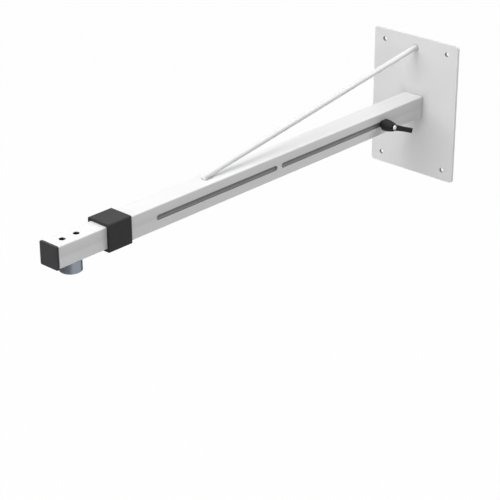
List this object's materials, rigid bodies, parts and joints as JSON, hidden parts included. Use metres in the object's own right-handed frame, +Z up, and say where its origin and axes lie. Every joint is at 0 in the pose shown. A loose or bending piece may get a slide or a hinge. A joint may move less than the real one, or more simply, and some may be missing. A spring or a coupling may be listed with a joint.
{
  "type": "projector wall mount",
  "caption": "Telescopic wall arm for a projector: square tube on a wall plate with a tie rod, an inner tube that slides and is clamped by a lever through side slots, and a socket below its tip.",
  "frame": {"origin": "centre of the wall plate's back face, which lies on the wall", "axes": "+X to the right of someone who faces the wall, +Y into the wall, +Z up; the arm runs along -Y"},
  "size_m": [0.23, 1.085, 0.32],
  "materials": {
    "white_powder_coat": "smooth satin white powder coat",
    "black_plastic": "fine-grained matt black plastic",
    "bright_steel": "turned zinc-plated steel, bluish grey",
    "zinc_plated_steel": "bright zinc plate",
    "black_oxide_steel": "black oxide, slightly oily",
    "bare_steel": "plain steel",
    "black_lever_coat": "fine textured black coat on die-cast metal",
    "spring_steel": "drawn spring wire"
  },
  "bodies": {
    "wall_frame": {"wall_plate": "white_powder_coat", "outer_tube": "white_powder_coat", "tie_rod": "white_powder_coat", "root_weld": "white_powder_coat", "rod_welds": "white_powder_coat", "collar": "black_plastic", "collar_screw": "zinc_plated_steel"},
    "telescopic_arm": {"inner_tube": "white_powder_coat", "end_cap": "black_plastic", "guide_plug": "black_plastic", "socket": "bright_steel", "socket_bolts": "black_oxide_steel", "socket_washers": "zinc_plated_steel", "socket_grub_screw": "black_oxide_steel", "weld_nut": "bare_steel"},
    "clamp": {"clamp_washer": "black_plastic", "clamp_screw": "black_oxide_steel", "lever_screw": "zinc_plated_steel", "lever_spring": "spring_steel"},
    "lever": {"clamp_lever": "black_lever_coat"}
  },
  "joints": [
    {"name": "arm_extension", "type": "slide", "parent": "wall_frame", "child": "telescopic_arm", "axis": [0, -1, 0], "range_m": [-0.0105, 0.3225]},
    {"name": "lever_turn", "type": "hinge", "parent": "telescopic_arm", "child": "clamp", "pos_m": [0.03, -0.149, 0], "axis": [1, 0, 0], "range_deg": [0, 180]},
    {"name": "lever_lift", "type": "slide", "parent": "clamp", "child": "lever", "axis": [1, 0, 0], "range_m": [0, 0.0035], "stiffness_N_per_m": 2000, "springref_m": -0.004, "deforming": ["lever_spring"]}
  ]
}
